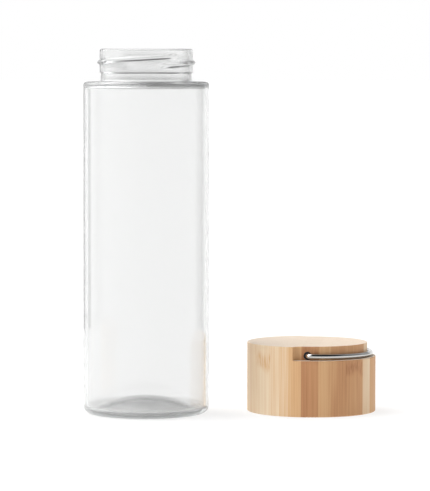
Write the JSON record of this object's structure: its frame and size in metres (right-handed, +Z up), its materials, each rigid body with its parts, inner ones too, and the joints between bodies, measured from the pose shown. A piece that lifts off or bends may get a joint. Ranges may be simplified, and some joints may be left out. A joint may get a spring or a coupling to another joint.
{
  "type": "glass water bottle",
  "caption": "Straight-sided clear glass bottle with a short threaded neck, and its wooden screw lid with a folding wire bail standing beside it.",
  "frame": {"origin": "on the bottle's axis, in the plane that the bottle stands on", "axes": "+Z up along the bottle's axis, out of the mouth; +X from the bottle towards the lid beside it; -Y is the front"},
  "size_m": [0.1519, 0.0784, 0.188],
  "materials": {
    "glass": "clear, polished",
    "bamboo": "laminated bamboo, sanded and oiled, satin",
    "liner": "natural white polypropylene, satin",
    "seal": "translucent silicone, matt",
    "sleeve": "black nylon, satin",
    "steel": "stainless steel wire, polished"
  },
  "bodies": {
    "bottle": {"bottle": "glass"},
    "seal": {"seal_ring": "seal"},
    "lid": {"lid_block": "bamboo", "thread_liner": "liner", "pivot_sleeve_front": "sleeve", "pivot_sleeve_rear": "sleeve"},
    "bail": {"bail": "steel"}
  },
  "joints": [
    {"name": "lid_lift", "type": "slide", "parent": "bottle", "child": "seal", "axis": [0, 0, 1], "range_m": [0, 0.19]},
    {"name": "lid_turn", "type": "hinge", "parent": "seal", "child": "lid", "pos_m": [0.0859, 0.0124, 0], "axis": [0, 0, 1], "range_deg": [0, 180]},
    {"name": "bail_swing", "type": "hinge", "parent": "lid", "child": "bail", "pos_m": [0.0859, 0.0124, 0.0312], "axis": [-0.0993, -0.9951, 0], "range_deg": [0, 130]}
  ]
}
